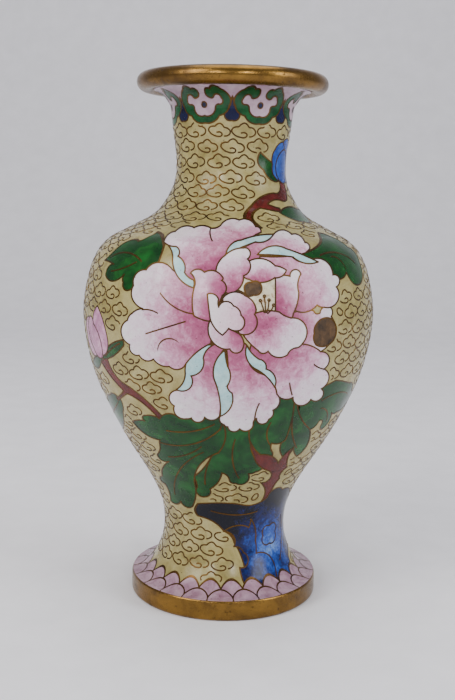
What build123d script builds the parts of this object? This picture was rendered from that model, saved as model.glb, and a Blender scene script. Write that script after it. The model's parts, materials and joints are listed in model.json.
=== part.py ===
from build123d import *
import os
from math import cos, radians, sin

os.makedirs("parts", exist_ok=True)

# Cloisonne baluster vase: spun copper body in brazed sections, brass rim and foot
# rings, brass wire cells (cloisons) filled with enamel, counter-enamel inside.
# Millimetres, +Z up, origin at the centre of the foot, front of the vase along -Y.

# ---------------------------------------------------------------- driving sizes
HEIGHT = 155.0
BELLY_RADIUS = 43.0
NECK_RADIUS = 16.0
WAIST_RADIUS = 18.35
FOOT_RADIUS = 28.3
FOOT_BAND_HEIGHT = 6.2
FOOT_BAND_WIDTH = 2.6
FOOT_LIP = 0.35
RIM_RADIUS = 27.8
RIM_SECTION_RADIUS = 2.6

ENAMEL_THICKNESS = 0.7
COPPER_THICKNESS = 0.9
LINING_THICKNESS = 0.4
WIRE_WIDTH = 0.4
WIRE_PROUD = 0.05
SMALLEST_CELL = 0.5
SMALLEST_PIECE = 0.3
SEAM_HEIGHT = 0.6
RIM_SLOT_CLEARANCE = 0.05
RIM_SLOT_DEPTH = 2.6
BASE_PLATE_THICKNESS = 1.2
BASE_PLATE_HEIGHT = 2.4
BASE_ENAMEL_THICKNESS = 0.5
RUYI_COUNT = 7
SCALE_COUNT = 23
PROFILE_ARCS = 20

# The motifs are drawn for this body and stretch with it.
DRAWN_HEIGHT = 155.0
DRAWN_BELLY = 43.0
UP = HEIGHT / DRAWN_HEIGHT
ACROSS = BELLY_RADIUS / DRAWN_BELLY
DRAWN_NECK = 16.0
AROUND_NECK = NECK_RADIUS / DRAWN_NECK
DEEP = BELLY_RADIUS + NECK_RADIUS

# ------------------------------------------------------------- outline of the body
# Heights of the features that the outline passes through.
WAIST_HEIGHT = 22.0 * UP
BELLY_HEIGHT = 87.5 * UP
NECK_HEIGHT = 128.0 * UP
LIP_HEIGHT = HEIGHT - 4.8
LIP_RADIUS = RIM_RADIUS - 5.1


def between(low, high, share):
    """A point between two (radius, height) features, by its share of each step."""
    return (low[0] + (high[0] - low[0]) * share[0], low[1] + (high[1] - low[1]) * share[1])


FOOT = (FOOT_RADIUS - FOOT_LIP, FOOT_BAND_HEIGHT)
WAIST = (WAIST_RADIUS, WAIST_HEIGHT)
BELLY = (BELLY_RADIUS, BELLY_HEIGHT)
NECK = (NECK_RADIUS, NECK_HEIGHT)
LIP = (LIP_RADIUS, LIP_HEIGHT)
FOOT_FLARE = ((0.464, 0.114), (0.656, 0.241), (0.797, 0.399), (0.974, 0.747))
LOWER_BELLY = ((0.022, 0.076), (0.107, 0.168), (0.266, 0.275), (0.517, 0.427), (0.728, 0.58), (0.89, 0.733),
               (0.98, 0.885))
SHOULDER = ((0.048, 0.21), (0.159, 0.407), (0.278, 0.494), (0.444, 0.556), (0.615, 0.617), (0.774, 0.679),
            (0.889, 0.778), (0.967, 0.877))
NECK_FLARE = ((0.052, 0.27), (0.179, 0.541), (0.284, 0.766), (0.567, 0.923))

body_line = [FOOT] + [between(FOOT, WAIST, s) for s in FOOT_FLARE]
body_line += [WAIST] + [between(WAIST, BELLY, s) for s in LOWER_BELLY]
body_line += [BELLY] + [between(BELLY, NECK, s) for s in SHOULDER]
body_line += [NECK] + [between(NECK, LIP, s) for s in NECK_FLARE] + [LIP]
surface_line = Spline(*body_line)


def layer_line(depth, overrun=0.0):
    """The outline moved in from the enamel surface, in arcs, run on past the lip by overrun."""
    points = []
    for step in range(2 * PROFILE_ARCS + 1):
        place = surface_line @ (step / (2 * PROFILE_ARCS))
        along = surface_line % (step / (2 * PROFILE_ARCS))
        points.append((place.X - along.Y * depth, place.Y + along.X * depth))
    edges = [ThreePointArc(*points[step:step + 3]) for step in range(0, 2 * PROFILE_ARCS, 2)]
    if overrun:
        along = surface_line % 1
        past = (points[-1][0] + along.X * overrun, points[-1][1] + along.Y * overrun)
        edges.append(Line(points[-1], past))
    return edges


# The turned layers close on a radial half-plane at the back, clear of the main motifs.
SEAM_TURN = 128.0
turning = Plane(
    origin=(0, 0, 0),
    x_dir=(sin(radians(SEAM_TURN)), -cos(radians(SEAM_TURN)), 0),
    z_dir=(-cos(radians(SEAM_TURN)), -sin(radians(SEAM_TURN)), 0),
)


def panel(turn):
    """Upright plane through the axis that faces out at this turn from the front."""
    angle = radians(turn)
    return Plane(origin=(0, 0, 0), x_dir=(cos(angle), sin(angle), 0), z_dir=(sin(angle), -cos(angle), 0))


def turned_layer(outside, inside, overrun=0.0):
    """Solid of revolution between two depths below the enamel surface."""
    with BuildPart() as layer:
        with BuildSketch(turning):
            with BuildLine():
                outer = layer_line(outside, overrun)
                inner = layer_line(inside, overrun)
                add(outer + inner)
                Line(outer[0] @ 0, inner[0] @ 0)
                Line(outer[-1] @ 1, inner[-1] @ 1)
            make_face()
        revolve(axis=Axis.Z)
    return layer.part


# ------------------------------------------------------------------ motif outlines
# Each outline is a chain of strokes. A stroke runs on from the end of the stroke
# before it through arcs of three points, and a new stroke starts at each corner.


def outline(*strokes, across=ACROSS):
    """Closed face drawn through its strokes, stretched to the body's size."""
    edges = []
    first = (strokes[0][0][0] * across, strokes[0][0][1] * UP)
    last = None
    for number, stroke in enumerate(strokes):
        points = [(u * across, z * UP) for u, z in stroke]
        if last is not None:
            points = [last] + points
        if number == len(strokes) - 1 and points[-1] != first:
            points.append(first)
        edges += chain(points)
        last = points[-1]
    return facing_up(make_face(edges))


def facing_up(sketch):
    """The sketch's face with its normal along +Z, so that faces join."""
    face = sketch.face()
    return Sketch() + (face if face.normal_at().Z > 0 else -face)


def chain(points):
    """Arcs through three points at a time, and a line where two are left."""
    edges = []
    step = 0
    while step < len(points) - 1:
        if step + 2 < len(points):
            a, b, c = points[step:step + 3]
            bend = (b[0] - a[0]) * (c[1] - b[1]) - (b[1] - a[1]) * (c[0] - b[0])
            if abs(bend) > 0.02:
                edges.append(ThreePointArc(a, b, c))
            else:
                edges.append(Line(a, c))
            step += 2
        else:
            edges.append(Line(points[step], points[step + 1]))
            step += 1
    return edges


def mirrored(points):
    """Outline of a neck motif from its right half, which starts and ends on the middle line."""
    back = tuple((-u, z) for u, z in reversed(points[1:-1]))
    return outline(tuple(points) + back, across=AROUND_NECK)


def petal_ring(center, radius, count):
    """Blossom of round petals about a centre, one face for each petal."""
    petals = []
    for number in range(count):
        angle = radians(90 + number * 360 / count)
        half = radians(180 / count)
        reach = radius * 0.62
        left = (center[0] + reach * cos(angle - half), center[1] + reach * sin(angle - half))
        right = (center[0] + reach * cos(angle + half), center[1] + reach * sin(angle + half))
        tip_a = (center[0] + radius * cos(angle - half / 2), center[1] + radius * sin(angle - half / 2))
        tip_b = (center[0] + radius * cos(angle + half / 2), center[1] + radius * sin(angle + half / 2))
        notch = (center[0] + radius * 0.95 * cos(angle), center[1] + radius * 0.95 * sin(angle))
        petals.append(outline((center, left), (tip_a, notch), (tip_b, right)))
    return petals


def round_heart(center, radius):
    """Round heart of a blossom, in two arcs."""
    right, left = (center[0] + radius, center[1]), (center[0] - radius, center[1])
    top, bottom = (center[0], center[1] + radius), (center[0], center[1] - radius)
    return outline((right, top, left), (bottom, right))


def leaf(base, tip, width, bow=0.0):
    """Pointed leaf from base to tip, bowed to one side."""
    du = tip[0] - base[0]
    dz = tip[1] - base[1]
    middle = ((base[0] + tip[0]) / 2 - dz * bow, (base[1] + tip[1]) / 2 + du * bow)
    size = (du * du + dz * dz) ** 0.5
    side = (-dz / size * width / 2, du / size * width / 2)
    near = (middle[0] + side[0], middle[1] + side[1])
    far = (middle[0] - side[0], middle[1] - side[1])
    return outline((base, near, tip), (far, base))


# Peony on the front, top petals first.
peony = {}
peony["repair_patch_low"] = outline(
    ((22.9, 84.8), (23.3, 87.2), (25.0, 88.6)),
    ((26.9, 88.7), (28.6, 87.4)),
    ((29.3, 84.9), (28.5, 82.4)),
    ((26.0, 81.0), (23.6, 81.6)),
    ((22.8, 83.2), (22.9, 84.8)),
)
peony["repair_patch_high"] = outline(
    ((4.2, 96.2), (4.3, 97.9), (5.8, 98.4)),
    ((7.6, 98.6), (8.5, 97.4)),
    ((8.2, 95.7), (6.4, 95.2)),
    ((5.0, 95.0), (4.2, 96.2)),
)
peony["heart_petal"] = outline(
    ((-5.5, 95.2), (-3.9, 95.3), (-2.6, 94.0)),
    ((-2.7, 93.0), (-2.5, 92.0)),
    ((-0.6, 93.5), (1.3, 92.4)),
    ((2.8, 91.4), (3.3, 90.0)),
    ((4.3, 88.0), (3.2, 86.2)),
    ((1.7, 86.0), (0.2, 86.6)),
    ((-0.6, 85.6), (-1.4, 84.8)),
    ((-3.4, 86.6), (-4.6, 88.8), (-5.1, 92.0), (-5.5, 95.2)),
)
peony["heart_petal_low"] = outline(
    ((-4.8, 88.2), (-5.0, 85.2), (-2.0, 81.5)),
    ((-0.7, 81.1), (0.6, 81.2)),
    ((2.4, 80.1), (3.8, 81.0)),
    ((4.1, 83.4), (2.8, 85.3)),
    ((1.4, 86.0), (0.2, 86.5)),
    ((-1.5, 89.0), (-4.8, 88.2)),
)
peony["heart_petal_right"] = outline(
    ((-1.4, 94.4), (1.2, 95.9), (4.3, 95.0)),
    ((6.2, 93.7), (7.2, 91.6)),
    ((7.1, 90.9), (6.8, 90.3)),
    ((7.3, 86.9), (3.0, 85.3)),
    ((1.5, 88.0), (-0.5, 92.4)),
    ((-1.2, 93.0), (-1.4, 94.4)),
)
peony["heart_petal_left"] = outline(
    ((-8.9, 89.6), (-9.4, 93.5), (-8.9, 97.0)),
    ((-9.0, 99.2), (-10.0, 100.4)),
    ((-8.5, 101.4), (-6.4, 100.7)),
    ((-4.0, 101.2), (-1.8, 99.8)),
    ((-1.5, 99.3), (-1.9, 98.8)),
    ((-0.6, 97.0), (-1.6, 95.0)),
    ((-2.0, 94.0), (-2.3, 93.2)),
    ((-3.5, 90.0), (-4.9, 88.3)),
    ((-6.8, 88.7), (-8.9, 89.6)),
)
peony["petal_upper_heart"] = outline(
    ((-3.4, 101.2), (-2.7, 103.4), (-1.2, 105.0)),
    ((1.0, 106.5), (3.6, 107.0)),
    ((5.4, 106.0), (4.7, 104.3)),
    ((5.5, 101.9), (3.8, 100.1)),
    ((3.3, 97.7), (0.0, 95.5)),
    ((-1.0, 96.0), (-1.4, 97.4)),
    ((-3.0, 99.0), (-3.4, 101.2)),
)
peony["petal_upper_right"] = outline(
    ((4.6, 103.4), (8.4, 104.4), (12.0, 102.6)),
    ((13.4, 102.3), (15.0, 101.5)),
    ((14.0, 100.1), (11.9, 99.6)),
    ((8.7, 98.4), (5.2, 99.2)),
    ((4.2, 99.5), (3.6, 100.2)),
    ((3.6, 102.0), (4.6, 103.4)),
)
peony["petal_right_low"] = outline(
    ((3.8, 85.2), (5.6, 88.0), (6.6, 90.4)),
    ((10.0, 91.2), (13.3, 90.8)),
    ((15.0, 89.7), (16.5, 89.2)),
    ((20.5, 86.9), (19.8, 82.4)),
    ((19.0, 81.5), (18.0, 81.2)),
    ((17.0, 80.9), (15.8, 79.4)),
    ((12.8, 78.9), (10.6, 80.6)),
    ((9.2, 80.0), (8.0, 80.8)),
    ((6.0, 82.5), (3.8, 85.2)),
)
peony["petal_tall"] = outline(
    ((12.1, 99.6), (14.2, 100.2), (16.0, 99.9)),
    ((17.6, 101.6), (18.9, 100.4)),
    ((18.1, 98.1), (18.4, 95.8)),
    ((18.0, 92.8), (17.0, 90.3)),
    ((16.2, 88.6), (12.2, 89.6)),
    ((12.2, 94.5), (12.1, 99.6)),
)
peony["stamen_field"] = outline(
    ((1.5, 96.6), (4.0, 99.8), (8.0, 100.2)),
    ((11.0, 100.4), (12.8, 100.0)),
    ((13.2, 95.0), (12.6, 90.0)),
    ((9.0, 89.6), (6.2, 90.2)),
    ((6.0, 93.0), (1.5, 96.6)),
)
peony["crescent_top"] = outline(
    ((-0.9, 105.4), (0.6, 108.0), (3.0, 108.9)),
    ((7.4, 110.1), (11.8, 110.4)),
    ((9.5, 108.7), (6.8, 108.5)),
    ((3.5, 107.3), (-0.9, 105.4)),
)
peony["crescent_top_right"] = outline(
    ((7.3, 105.4), (11.0, 107.5), (15.0, 106.9)),
    ((19.3, 105.4), (23.8, 103.4)),
    ((20.0, 103.2), (16.8, 104.8)),
    ((12.0, 105.3), (7.3, 105.4)),
)
peony["petal_top_right"] = outline(
    ((11.8, 110.4), (14.4, 111.5), (16.8, 110.4)),
    ((19.2, 110.0), (20.3, 108.4)),
    ((21.4, 107.8), (21.6, 107.0)),
    ((20.6, 106.0), (19.0, 105.5)),
    ((14.0, 104.9), (8.0, 105.0)),
    ((3.5, 103.6), (3.8, 107.2)),
    ((7.6, 108.9), (11.8, 110.4)),
)
peony["petal_crown"] = outline(
    ((8.4, 110.9), (8.1, 111.9), (7.0, 112.3)),
    ((5.2, 114.0), (2.5, 113.9)),
    ((-0.9, 113.9), (-2.6, 112.4)),
    ((-3.8, 111.8), (-5.1, 111.7)),
    ((-7.6, 112.3), (-9.7, 111.7)),
    ((-12.8, 111.9), (-14.8, 110.6)),
    ((-16.8, 109.6), (-17.6, 107.9)),
    ((-15.7, 107.0), (-14.3, 106.9)),
    ((-13.2, 105.9), (-13.5, 104.5)),
    ((-11.6, 102.4), (-11.6, 100.5)),
    ((-9.0, 98.6), (-6.0, 99.0)),
    ((-1.0, 101.0), (2.0, 105.5)),
    ((5.0, 109.0), (8.4, 110.9)),
)
peony["crescent_left"] = outline(
    ((-16.2, 107.0), (-13.6, 107.4), (-11.5, 105.0)),
    ((-9.9, 101.5), (-9.0, 98.0)),
    ((-9.0, 97.4), (-9.2, 96.7)),
    ((-13.2, 99.2), (-14.9, 103.6)),
    ((-15.2, 105.6), (-16.2, 107.0)),
)
peony["petal_left"] = outline(
    ((-14.8, 101.0), (-18.0, 102.7), (-22.0, 100.6)),
    ((-24.9, 99.2), (-25.4, 96.3)),
    ((-25.9, 93.8), (-24.9, 91.8), (-23.9, 91.0), (-22.6, 90.5)),
    ((-24.3, 90.0), (-25.6, 89.0), (-26.5, 88.1), (-26.9, 87.0)),
    ((-28.8, 84.0), (-26.3, 80.4)),
    ((-26.0, 78.5), (-23.6, 77.8)),
    ((-21.6, 76.5), (-19.6, 77.2)),
    ((-17.6, 75.7), (-15.3, 75.6)),
    ((-12.7, 75.0), (-10.9, 76.6)),
    ((-8.0, 80.0), (-4.4, 82.5)),
    ((-4.2, 86.0), (-4.6, 89.4)),
    ((-7.6, 93.0), (-8.8, 97.4)),
    ((-14.8, 101.0),),
)
peony["crescent_low_left"] = outline(
    ((-3.6, 82.2), (-8.5, 80.4), (-11.0, 74.0)),
    ((-11.8, 71.0), (-13.4, 69.2)),
    ((-9.8, 69.9), (-9.5, 73.4)),
    ((-6.6, 75.4), (-6.3, 78.5)),
    ((-5.3, 80.8), (-3.6, 82.2)),
)
peony["crescent_low_middle"] = outline(
    ((-0.7, 80.8), (-3.4, 76.6), (-2.9, 71.6)),
    ((-1.8, 67.0), (-1.6, 62.0)),
    ((1.4, 65.4), (1.4, 69.0)),
    ((0.4, 70.0), (0.1, 71.0)),
    ((0.9, 74.0), (0.1, 76.4)),
    ((-0.4, 78.6), (-0.7, 80.8)),
)
peony["crescent_low_right"] = outline(
    ((5.0, 82.2), (5.0, 78.8), (8.0, 75.5)),
    ((10.6, 73.4), (12.7, 70.5)),
    ((12.4, 74.0), (10.2, 75.7)),
    ((10.0, 77.2), (8.3, 78.4)),
    ((6.6, 79.8), (5.0, 82.2)),
)
peony["petal_low_left"] = outline(
    ((-13.2, 69.0), (-15.4, 66.4), (-14.0, 64.3)),
    ((-13.3, 61.3), (-10.7, 60.7)),
    ((-10.0, 60.8), (-9.4, 61.1)),
    ((-7.6, 59.9), (-5.8, 61.6)),
    ((-3.6, 60.8), (-1.75, 62.3)),
    ((-1.6, 68.0), (-2.4, 74.0)),
    ((-2.4, 78.0), (-0.6, 81.4)),
    ((-2.4, 83.0), (-4.6, 82.8)),
    ((-9.0, 78.0), (-10.4, 72.6)),
    ((-11.6, 70.4), (-13.2, 69.0)),
)
peony["petal_low_middle"] = outline(
    ((-1.5, 62.2), (-1.6, 60.4), (-0.5, 59.5)),
    ((-0.2, 59.1), (0.5, 58.9)),
    ((1.8, 57.4), (3.7, 58.3)),
    ((5.8, 57.6), (7.3, 59.9)),
    ((7.6, 60.9), (8.2, 61.4)),
    ((9.8, 59.6), (11.5, 61.0)),
    ((12.6, 62.2), (12.5, 63.7)),
    ((14.2, 65.6), (13.4, 68.4)),
    ((12.4, 71.4), (9.6, 74.2)),
    ((5.6, 77.6), (5.4, 81.6)),
    ((2.6, 83.4), (-0.4, 82.0)),
    ((0.2, 72.0), (-1.5, 62.2)),
)
peony["petal_right_back"] = outline(
    ((5.6, 104.6), (11.0, 105.6), (16.5, 104.9)),
    ((18.6, 103.6), (20.5, 103.3)),
    ((25.9, 103.6), (28.0, 99.9)),
    ((30.0, 98.5), (29.0, 96.7)),
    ((29.0, 92.4), (25.6, 91.6)),
    ((24.3, 91.8), (23.5, 92.3)),
    ((20.4, 90.6), (17.3, 91.2)),
    ((15.2, 93.0), (15.0, 99.0)),
    ((10.0, 100.5), (5.6, 104.6)),
)
peony["petal_low_right"] = outline(
    ((18.6, 82.2), (22.4, 81.4), (25.0, 79.6)),
    ((27.6, 77.4), (26.2, 74.6)),
    ((27.8, 71.0), (25.8, 68.8)),
    ((26.2, 66.0), (23.0, 66.0)),
    ((20.2, 64.4), (17.9, 67.2)),
    ((15.6, 66.8), (13.4, 68.5)),
    ((12.6, 71.0), (9.6, 73.6)),
    ((6.0, 78.0), (6.4, 83.0)),
    ((12.0, 84.6), (18.6, 82.2)),
)

peony["petal_right_side"] = outline(
    ((16.4, 90.2), (19.6, 91.2), (22.6, 90.8)),
    ((23.4, 90.0), (24.4, 90.2)),
    ((26.6, 91.8), (27.6, 89.0)),
    ((28.9, 86.0), (27.6, 81.8)),
    ((26.2, 80.4), (24.4, 79.4)),
    ((20.0, 77.6), (17.4, 80.0)),
    ((15.6, 85.0), (16.4, 90.2)),
)

# Notches and veins that split a petal part of the way: (petal, points).
PETAL_VEINS = (
    ("petal_crown", ((-5.1, 112.0), (-5.3, 110.4), (-4.5, 108.5))),
    ("petal_left", ((-22.9, 90.2), (-20.5, 90.3), (-18.4, 89.6))),
    ("petal_left", ((-18.0, 95.0), (-13.4, 91.2), (-8.0, 90.0))),
    ("petal_left", ((-21.8, 83.9), (-17.0, 85.8), (-11.0, 88.0))),
    ("petal_left", ((-18.4, 79.6), (-15.4, 83.2), (-12.8, 82.3))),
    ("petal_low_middle", ((7.7, 60.4), (7.9, 63.2), (8.8, 66.0))),
    ("petal_low_right", ((26.5, 74.5), (25.0, 75.0), (23.2, 76.3))),
    ("petal_low_right", ((17.6, 67.8), (17.1, 69.6), (16.7, 71.6))),
)

# Leaves and forked stem below the peony, in the same panel.
leaves_low = {}
leaves_low["stem_forked"] = outline(
    ((6.8, 53.9), (7.1, 51.4), (8.0, 49.0)),
    ((9.2, 46.2), (11.7, 44.0)),
    ((13.2, 42.4), (12.6, 40.4)),
    ((11.5, 39.6), (10.2, 39.6)),
    ((11.4, 37.6), (10.6, 32.5)),
    ((11.8, 32.2), (13.0, 32.8)),
    ((13.8, 36.6), (15.7, 40.0)),
    ((16.2, 42.4), (17.7, 43.8)),
    ((17.7, 47.2), (18.8, 50.5)),
    ((17.1, 49.2), (15.0, 46.0)),
    ((13.4, 48.4), (9.7, 49.6)),
    ((8.3, 51.2), (6.8, 53.9)),
)
leaves_low["leaf_left"] = outline(
    ((-26.5, 56.8), (-24.8, 57.8), (-22.6, 58.1)),
    ((-23.2, 59.4), (-22.2, 60.0)),
    ((-20.2, 60.3), (-18.2, 59.7)),
    ((-16.2, 61.6), (-12.7, 60.7)),
    ((-8.0, 64.8), (-0.9, 65.6)),
    ((-0.9, 60.4), (-1.6, 58.0)),
    ((-9.0, 52.8), (-18.3, 51.8)),
    ((-18.5, 52.2), (-18.3, 52.6)),
    ((-22.4, 53.4), (-26.5, 56.8)),
)
leaves_low["leaf_left_hanging"] = outline(
    ((-18.6, 51.9), (-18.5, 49.4), (-19.4, 47.2)),
    ((-18.4, 45.6), (-16.0, 45.6)),
    ((-17.9, 42.8), (-18.3, 39.2)),
    ((-19.0, 37.2), (-17.6, 36.4)),
    ((-16.4, 33.6), (-16.0, 30.4)),
    ((-14.4, 30.0), (-12.8, 31.6)),
    ((-11.1, 30.0), (-9.2, 30.8)),
    ((-8.3, 35.0), (-8.7, 39.6)),
    ((-7.6, 45.0), (-2.0, 50.4)),
    ((-0.2, 54.6), (-0.6, 59.5)),
    ((-9.0, 57.2), (-18.6, 51.9)),
)
leaves_low["leaf_right_inner"] = outline(
    ((6.4, 55.4), (7.3, 51.8), (9.4, 48.4)),
    ((11.6, 47.4), (12.9, 50.4)),
    ((12.5, 51.8), (12.7, 53.2)),
    ((14.4, 52.8), (16.6, 54.0)),
    ((17.6, 58.0), (18.2, 70.0)),
    ((11.0, 69.0), (6.9, 61.0)),
    ((6.3, 58.0), (6.4, 55.4)),
)
leaves_low["leaf_middle"] = outline(
    ((-8.9, 41.5), (-8.1, 39.5), (-7.9, 37.8)),
    ((-6.4, 34.6), (-4.2, 37.6)),
    ((-2.2, 39.8), (-0.9, 43.6)),
    ((0.6, 42.6), (1.3, 41.0)),
    ((1.9, 40.1), (3.0, 39.9)),
    ((5.0, 39.5), (6.8, 41.4)),
    ((6.8, 42.3), (6.6, 43.2)),
    ((7.6, 43.2), (8.6, 43.7)),
    ((10.8, 45.2), (10.4, 48.6)),
    ((9.6, 52.0), (9.8, 56.0)),
    ((9.6, 60.0), (7.8, 63.4)),
    ((2.0, 64.0), (-3.0, 60.6)),
    ((-3.6, 50.0), (-8.9, 41.5)),
)
leaves_low["leaf_right_hanging"] = outline(
    ((15.6, 53.4), (15.2, 50.4), (16.8, 47.4)),
    ((18.2, 48.9), (19.2, 51.0)),
    ((19.5, 48.8), (20.4, 47.2)),
    ((23.0, 50.0), (23.8, 54.0)),
    ((23.6, 55.8), (22.7, 57.2)),
    ((19.8, 62.4), (19.2, 69.0)),
    ((17.0, 70.4), (14.6, 67.0)),
    ((14.4, 60.0), (15.6, 53.4)),
)
LEAF_VEINS = (
    ("leaf_left", ((-16.5, 56.2), (-9.5, 56.8), (-3.0, 59.6))),
    ("leaf_left_hanging", ((-14.6, 33.4), (-13.2, 42.6), (-6.0, 50.4))),
    ("leaf_left_hanging", ((-16.2, 47.3), (-11.6, 48.6), (-6.6, 52.2))),
    ("leaf_middle", ((-5.6, 39.0), (-5.2, 45.0), (-2.4, 51.6))),
    ("leaf_middle", ((4.0, 41.6), (2.0, 48.0), (2.6, 55.0))),
    ("leaf_right_inner", ((12.3, 52.6), (11.2, 56.0), (12.2, 60.0))),
    ("leaf_right_hanging", ((20.1, 50.4), (18.4, 55.6), (18.2, 60.6))),
)

# Bud, stem and leaves on the left.
left_spray = {}
left_spray["bud_petal_front"] = outline(
    ((0.0, 89.5), (3.6, 85.8), (5.3, 81.5)),
    ((4.6, 77.8), (1.0, 75.6)),
    ((0.9, 80.6), (-2.8, 84.2)),
    ((-2.4, 87.0), (0.0, 89.5)),
)
left_spray["bud_petal_middle"] = outline(
    ((-2.8, 84.0), (-4.6, 86.1), (-6.6, 85.0)),
    ((-7.4, 80.8), (-4.8, 76.9)),
    ((-2.6, 74.8), (1.2, 75.2)),
    ((2.4, 80.0), (-2.8, 84.0)),
)
left_spray["bud_petal_back"] = outline(
    ((-5.8, 85.8), (-9.6, 84.2), (-10.2, 80.4)),
    ((-8.6, 75.8), (-3.2, 75.0)),
    ((-4.0, 81.0), (-5.8, 85.8)),
)
left_spray["bud_leaf_right"] = outline(
    ((1.0, 75.2), (6.0, 79.2), (12.0, 81.4)),
    ((12.4, 80.4), (11.8, 79.5)),
    ((6.8, 76.2), (1.0, 74.6)),
    ((0.8, 74.9), (1.0, 75.2)),
)
left_spray["bud_leaf_left"] = outline(
    ((1.0, 75.0), (-5.4, 74.2), (-10.4, 71.4)),
    ((-5.6, 70.8), (-0.8, 73.8)),
    ((0.4, 74.2), (1.0, 75.0)),
)
left_spray["stem_left"] = outline(
    ((-0.9, 73.4), (1.2, 74.9), (3.7, 74.9)),
    ((4.9, 71.8), (9.5, 68.5)),
    ((14.6, 65.4), (18.6, 59.4)),
    ((17.6, 58.8), (16.8, 59.3)),
    ((13.6, 63.6), (8.5, 65.7)),
    ((5.4, 64.2), (2.2, 62.6)),
    ((1.8, 63.0), (1.9, 63.5)),
    ((5.0, 64.8), (7.3, 66.4)),
    ((3.6, 69.2), (-0.9, 73.4)),
)
left_spray["leaf_far_left"] = outline(
    ((4.0, 63.3), (0.6, 64.4), (-2.8, 63.3)),
    ((-5.8, 62.6), (-8.6, 60.2)),
    ((-12.6, 60.2), (-15.6, 57.0)),
    ((-18.0, 56.0), (-20.4, 53.0)),
    ((-15.6, 50.2), (-10.4, 51.0)),
    ((-3.0, 53.8), (2.0, 59.2)),
    ((3.6, 61.0), (4.0, 63.3)),
)
left_spray["leaf_upper_left"] = outline(
    ((-2.0, 102.0), (0.0, 103.5), (1.6, 105.6)),
    ((4.4, 107.8), (8.2, 107.7)),
    ((9.4, 108.8), (9.2, 110.3)),
    ((13.0, 109.4), (17.6, 107.0)),
    ((19.6, 102.0), (17.4, 96.6)),
    ((16.0, 96.6), (14.6, 97.8)),
    ((12.6, 94.8), (10.5, 96.9)),
    ((10.0, 97.8), (10.2, 98.9)),
    ((6.0, 96.8), (1.7, 98.1)),
    ((1.8, 100.2), (4.2, 101.3)),
    ((1.0, 101.8), (-2.0, 102.0)),
)
LEFT_VEINS = (
    ("leaf_upper_left", ((0.6, 102.9), (6.6, 104.6), (14.6, 102.6))),
    ("leaf_upper_left", ((4.0, 99.4), (8.6, 100.4), (13.0, 102.4))),
    ("leaf_far_left", ((-16.0, 54.4), (-7.6, 57.2), (1.6, 62.0))),
    ("bud_leaf_right", ((2.6, 75.5), (6.6, 78.2), (10.8, 80.3))),
)

# Leaves that come out from behind the peony on the right.
right_leaf = {}
right_leaf["leaf_far_right"] = outline(
    ((-2.0, 68.4), (1.4, 69.4), (5.6, 70.6)),
    ((10.4, 69.6), (14.2, 68.5)),
    ((17.8, 67.4), (19.6, 65.0)),
    ((21.8, 64.4), (23.0, 62.4)),
    ((19.0, 60.0), (13.2, 59.5)),
    ((11.0, 59.4), (9.7, 60.0)),
    ((10.6, 57.6), (9.0, 55.4)),
    ((7.2, 55.2), (6.6, 57.0)),
    ((5.6, 58.4), (4.5, 58.2)),
    ((2.8, 56.2), (0.0, 57.2)),
    ((-4.0, 60.0), (-5.6, 66.0)),
    ((-4.4, 68.0), (-2.0, 68.4)),
)
upper_right_leaf = {}
upper_right_leaf["leaf_upper_right"] = outline(
    ((-15.4, 105.6), (-7.4, 107.6), (0.4, 110.6)),
    ((5.0, 109.4), (7.6, 106.6)),
    ((10.2, 105.0), (9.8, 102.4)),
    ((8.8, 99.2), (3.2, 96.6)),
    ((0.4, 97.4), (-1.7, 100.3)),
    ((-4.6, 98.8), (-9.0, 99.6)),
    ((-13.0, 102.0), (-15.4, 105.6)),
)
RIGHT_VEINS = (
    ("leaf_far_right", ((2.0, 65.0), (8.6, 66.4), (16.0, 64.8))),
    ("leaf_far_right", ((3.0, 62.6), (7.0, 60.6), (8.8, 57.4))),
)
UPPER_RIGHT_VEINS = (
    ("leaf_upper_right", ((-10.0, 105.0), (-2.6, 105.6), (5.6, 102.6))),
    ("leaf_upper_right", ((-6.0, 104.6), (-2.6, 103.6), (-1.4, 101.2))),
)

# Stem and leaves that climb the neck on the right, and the blue flower they carry.
neck_flower = {}
neck_flower["blue_petal_front"] = outline(
    ((-0.6, 133.8), (3.4, 130.6), (1.6, 125.2)),
    ((-1.0, 124.2), (-3.4, 125.0)),
    ((-4.6, 130.4), (-0.6, 133.8)),
)
neck_flower["blue_petal_left"] = outline(
    ((-5.9, 133.4), (-4.4, 135.2), (-2.2, 135.8)),
    ((-1.0, 134.6), (-0.4, 133.0)),
    ((-2.0, 129.0), (-2.6, 124.8)),
    ((-5.4, 125.8), (-6.3, 129.4)),
    ((-6.6, 131.6), (-5.9, 133.4)),
)
neck_flower["blue_petal_right"] = outline(
    ((-2.4, 135.6), (-0.2, 136.8), (3.2, 136.0)),
    ((6.6, 133.6), (6.5, 129.8)),
    ((5.4, 125.6), (0.6, 124.6)),
    ((0.8, 129.0), (-1.2, 132.6)),
    ((-1.6, 134.4), (-2.4, 135.6)),
)
neck_stem = {}
neck_stem["leaf_neck"] = outline(
    ((-6.8, 132.6), (-4.6, 131.0), (-2.4, 129.8)),
    ((0.4, 128.0), (1.6, 125.4)),
    ((-3.0, 125.0), (-5.6, 127.8)),
    ((-7.4, 130.0), (-6.8, 132.6)),
)
neck_stem["stem_neck"] = outline(
    ((-18.0, 112.6), (-15.2, 115.4), (-12.0, 117.8)),
    ((-8.4, 120.2), (-3.2, 121.4)),
    ((0.2, 122.6), (0.6, 125.8)),
    ((2.0, 126.2), (3.4, 125.8)),
    ((3.4, 121.4), (-2.0, 119.4)),
    ((-5.6, 119.2), (-7.4, 118.3)),
    ((-5.6, 117.6), (-4.0, 117.2)),
    ((-4.2, 116.7), (-4.4, 116.2)),
    ((-7.4, 116.6), (-10.2, 117.2)),
    ((-13.6, 115.4), (-16.2, 112.2)),
    ((-17.2, 112.0), (-18.0, 112.6)),
)
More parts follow.
